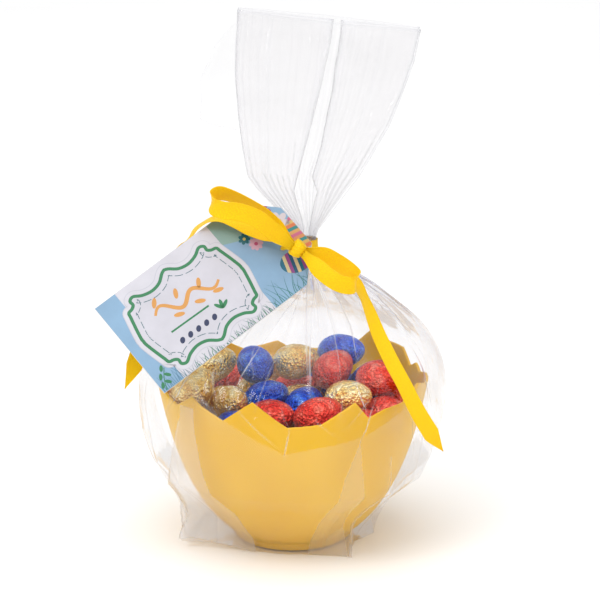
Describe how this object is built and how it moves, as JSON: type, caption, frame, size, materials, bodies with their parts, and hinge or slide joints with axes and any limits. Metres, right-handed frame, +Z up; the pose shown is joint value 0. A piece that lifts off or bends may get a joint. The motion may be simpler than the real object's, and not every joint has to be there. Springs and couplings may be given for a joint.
{
  "type": "easter gift basket",
  "caption": "Jagged-rim eggshell bowl of foil-wrapped chocolate eggs in a clear gusset film bag, gathered and tied with a satin bow and a printed card tag.",
  "frame": {"origin": "on the bowl's axis in the underside of the bag's folded base, at table level", "axes": "+Z up through the tied neck to the bag's mouth, front of the gift towards -Y, +X to the right seen from the front"},
  "size_m": [0.2019, 0.171, 0.309],
  "materials": {
    "bowl_plastic": "moulded, soft gloss",
    "film": "clear glossy packaging film",
    "ribbon_satin": "satin weave",
    "tag_print": "printed coated card",
    "gold_foil": "crinkled coloured foil",
    "red_foil": "crinkled coloured foil",
    "blue_foil": "crinkled coloured foil",
    "chocolate": "satin chocolate"
  },
  "bodies": {
    "wrapped_bowl": {"bowl": "bowl_plastic", "bag_front_panel": "film", "bag_back_panel": "film", "bag_left_gusset": "film", "bag_right_gusset": "film", "bag_base": "film", "bag_neck": "film", "ribbon_neck_wrap": "ribbon_satin", "ribbon_knot": "ribbon_satin", "seat_blue_left_foil": "blue_foil", "seat_gold_middle_foil": "gold_foil", "seat_blue_middle_foil": "blue_foil", "seat_red_centre_foil": "red_foil", "seat_red_front_left_foil": "red_foil", "seat_red_front_foil": "red_foil", "seat_gold_right_foil": "gold_foil", "seat_red_right_foil": "red_foil", "seat_gold_rim_foil": "gold_foil", "seat_gold_front_foil": "gold_foil", "seat_gold_far_left_foil": "gold_foil", "seat_blue_right_foil": "blue_foil", "seat_cores": "chocolate", "upper_gold_foils": "gold_foil", "upper_gold_cores": "chocolate", "upper_red_foils": "red_foil", "upper_red_cores": "chocolate", "upper_blue_foils": "blue_foil", "upper_blue_cores": "chocolate", "lower_gold_foils": "gold_foil", "lower_gold_cores": "chocolate", "lower_red_foils": "red_foil", "lower_red_cores": "chocolate", "lower_blue_foils": "blue_foil", "lower_blue_cores": "chocolate"},
    "bag_mouth": {"mouth_front_panel": "film", "mouth_back_panel": "film", "mouth_left_gusset": "film", "mouth_right_gusset": "film", "mouth_flap": "film"},
    "tag_tie": {"tag_strand": "ribbon_satin"},
    "tag": {"tag_card": "tag_print"},
    "loop_left": {"bow_loop_left": "ribbon_satin"},
    "loop_right": {"bow_loop_right": "ribbon_satin"},
    "tail_left": {"ribbon_tail_left": "ribbon_satin"},
    "tail_right": {"ribbon_tail_right": "ribbon_satin"},
    "egg_blue_front": {"blue_front_foil": "blue_foil", "blue_front_core": "chocolate"},
    "egg_gold_middle": {"gold_middle_foil": "gold_foil", "gold_middle_core": "chocolate"},
    "egg_blue_back": {"blue_back_foil": "blue_foil", "blue_back_core": "chocolate"},
    "egg_red_middle": {"red_middle_foil": "red_foil", "red_middle_core": "chocolate"},
    "egg_red_right": {"red_right_foil": "red_foil", "red_right_core": "chocolate"},
    "egg_gold_left": {"gold_left_foil": "gold_foil", "gold_left_core": "chocolate"}
  },
  "joints": [
    {"name": "mouth_lean", "type": "hinge", "parent": "wrapped_bowl", "child": "bag_mouth", "pos_m": [0.008, 0, 0.1815], "axis": [0, 1, 0], "range_deg": [-12, 12]},
    {"name": "tag_flap", "type": "hinge", "parent": "wrapped_bowl", "child": "tag_tie", "pos_m": [-0.0055, -0.0255, 0.1788], "axis": [-1, 0, 0], "range_deg": [0, 6]},
    {"name": "tag_swing", "type": "hinge", "parent": "tag_tie", "child": "tag", "pos_m": [-0.0055, -0.0255, 0.1788], "axis": [0, -0.8191, 0.5736], "range_deg": [-1, 12]},
    {"name": "loop_left_bend", "type": "hinge", "parent": "wrapped_bowl", "child": "loop_left", "pos_m": [0.003, -0.0335, 0.1825], "axis": [0, 1, 0], "range_deg": [-8, 12]},
    {"name": "loop_right_bend", "type": "hinge", "parent": "wrapped_bowl", "child": "loop_right", "pos_m": [0.003, -0.0335, 0.1825], "axis": [0, -1, 0], "range_deg": [-8, 12]},
    {"name": "tail_left_lift", "type": "hinge", "parent": "wrapped_bowl", "child": "tail_left", "pos_m": [0.003, -0.0335, 0.1825], "axis": [0, 0.8191, -0.5736], "range_deg": [0, 20]},
    {"name": "tail_right_lift", "type": "hinge", "parent": "wrapped_bowl", "child": "tail_right", "pos_m": [0.003, -0.0335, 0.1825], "axis": [0, -1, 0], "range_deg": [0, 20]},
    {"name": "blue_front_lift", "type": "slide", "parent": "wrapped_bowl", "child": "egg_blue_front", "axis": [0, 0, 1], "range_m": [0, 0.01]},
    {"name": "gold_middle_lift", "type": "slide", "parent": "wrapped_bowl", "child": "egg_gold_middle", "axis": [0, 0, 1], "range_m": [0, 0.01]},
    {"name": "blue_back_lift", "type": "slide", "parent": "wrapped_bowl", "child": "egg_blue_back", "axis": [0, 0, 1], "range_m": [0, 0.01]},
    {"name": "red_middle_lift", "type": "slide", "parent": "wrapped_bowl", "child": "egg_red_middle", "axis": [0, 0, 1], "range_m": [0, 0.01]},
    {"name": "red_right_lift", "type": "slide", "parent": "wrapped_bowl", "child": "egg_red_right", "axis": [0, 0, 1], "range_m": [0, 0.01]},
    {"name": "gold_left_lift", "type": "slide", "parent": "wrapped_bowl", "child": "egg_gold_left", "axis": [0, 0, 1], "range_m": [0, 0.01]}
  ]
}
